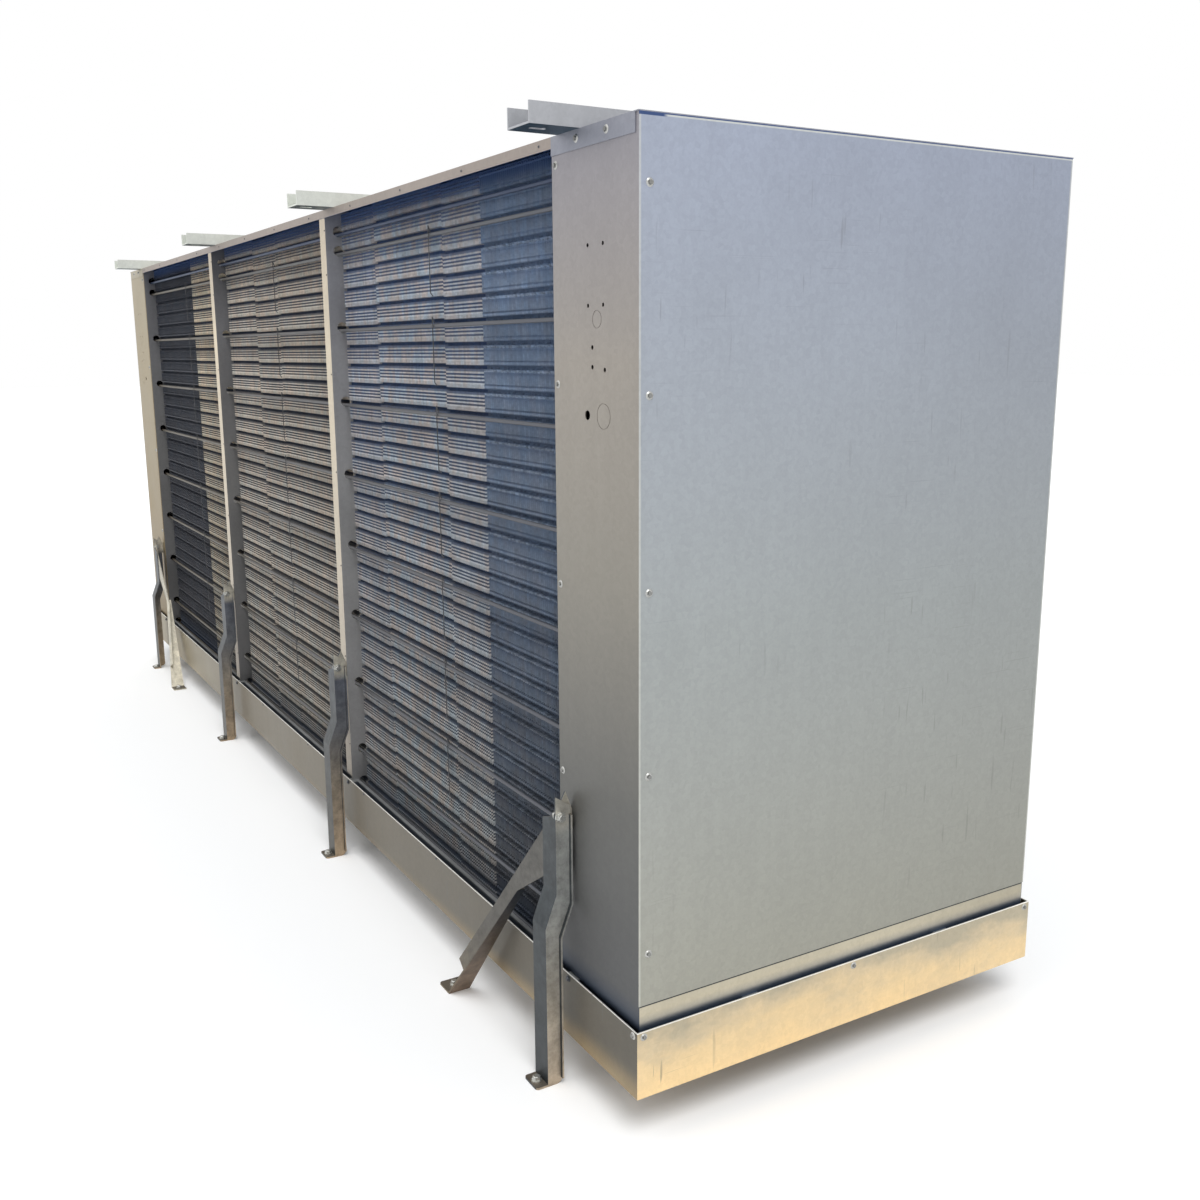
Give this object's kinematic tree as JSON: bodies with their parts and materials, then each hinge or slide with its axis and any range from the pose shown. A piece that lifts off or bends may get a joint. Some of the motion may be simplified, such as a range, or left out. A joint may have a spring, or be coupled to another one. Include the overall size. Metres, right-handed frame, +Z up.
{
  "type": "refrigeration evaporator",
  "caption": "Large industrial refrigeration evaporator: open finned coil in a galvanised casing with fan side, drain pan, hanger channels and bolted legs.",
  "frame": {"origin": "on the floor under the middle of the unit", "axes": "+X along the coil, towards the end whose panel the picture shows; +Y from the coil face to the fan side; +Z up"},
  "size_m": [4.864, 1.341, 2.047],
  "materials": {
    "fins": "aged galvanised fins, dark between",
    "panel": "dull galvanised sheet",
    "casing": "dull galvanised sheet",
    "tube_sheet": "galvanised sheet",
    "hanger": "bright galvanised",
    "leg": "dull galvanised, scuffed",
    "pan": "galvanised sheet",
    "heater": "heater sheath",
    "guard": "black coated wire",
    "ring": "galvanised",
    "rotor": "cast blades",
    "motor": "grey paint"
  },
  "bodies": {
    "root": {"base_ends": "tube_sheet", "base_rail_back": "tube_sheet", "base_rail_front": "tube_sheet", "braces_back": "leg", "braces_front": "leg", "drain_pan": "pan", "end_cover_back_left": "casing", "end_cover_back_right": "casing", "end_cover_front_left": "casing", "end_cover_front_right": "casing", "end_panel_left": "panel", "end_panel_right": "panel", "fan_guards": "guard", "fan_motors": "motor", "fan_panel": "casing", "fan_ring_1": "ring", "fan_ring_2": "ring", "fan_ring_3": "ring", "fan_rotor_1": "rotor", "fan_rotor_2": "rotor", "fan_rotor_3": "rotor", "fin_pack_1": "fins", "fin_pack_2": "fins", "fin_pack_3": "fins", "hanger_channel_1": "hanger", "hanger_channel_2": "hanger", "hanger_channel_3": "hanger", "hanger_channel_4": "hanger", "heater_rods": "heater", "leg_back_1": "leg", "leg_back_2": "leg", "leg_back_3": "leg", "leg_back_4": "leg", "leg_front_1": "leg", "leg_front_2": "leg", "leg_front_3": "leg", "leg_front_4": "leg", "leg_lugs": "leg", "pan_clips": "leg", "top_cap_left": "casing", "top_cap_right": "casing", "top_panel": "casing", "tube_sheet_1": "tube_sheet", "tube_sheet_2": "tube_sheet", "tube_sheet_3": "tube_sheet", "tube_sheet_4": "tube_sheet"}
  },
  "joints": []
}
